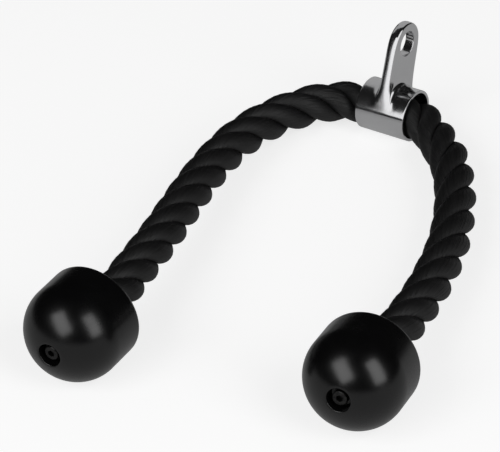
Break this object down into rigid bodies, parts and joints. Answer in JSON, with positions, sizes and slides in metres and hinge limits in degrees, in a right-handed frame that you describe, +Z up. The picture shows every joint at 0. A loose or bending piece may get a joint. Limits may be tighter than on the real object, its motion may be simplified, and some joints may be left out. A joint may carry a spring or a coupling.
{
  "type": "triceps rope attachment",
  "caption": "Thick black three-strand rope drawn through a chrome eye collar, with a rounded ball end screwed on each tail, for hanging on a cable machine.",
  "frame": {"origin": "centre of the box round the collar, the two ball ends and their screws, at the height of the floor that the balls and the collar lie on; the free rope is left out of that box", "axes": "+Z up from the floor; +X along the rope inside the collar, from the left tail to the right one; +Y from the ball ends towards the collar"},
  "size_m": [0.2625, 0.3916, 0.077],
  "materials": {
    "rope": "matte black synthetic fibre, three strands laid right-handed",
    "collar": "bright chrome plate on steel",
    "ball": "satin black moulding",
    "screw": "black oxide",
    "insert": "zinc plated"
  },
  "bodies": {
    "rope_middle": {"rope_middle": "rope"},
    "eye_collar": {"eye_collar": "collar"},
    "left_tail": {"rope_left": "rope", "end_ball_left": "ball", "ball_screw_left": "screw", "rope_end_insert_left": "insert"},
    "right_tail": {"rope_right": "rope", "end_ball_right": "ball", "ball_screw_right": "screw", "rope_end_insert_right": "insert"}
  },
  "joints": [
    {"name": "collar_swivel", "type": "hinge", "parent": "rope_middle", "child": "eye_collar", "pos_m": [-0.063, 0.165, 0.018], "axis": [1, 0, 0], "continuous": true},
    {"name": "left_bend", "type": "hinge", "parent": "rope_middle", "child": "left_tail", "pos_m": [-0.08189, 0.16411, 0.01656], "axis": [0, 0, 1], "range_deg": [-60, 8], "deforming": ["rope_left"]},
    {"name": "right_bend", "type": "hinge", "parent": "rope_middle", "child": "right_tail", "pos_m": [-0.04404, 0.16405, 0.01656], "axis": [0, 0, 1], "range_deg": [-8, 50], "deforming": ["rope_right"]}
  ]
}
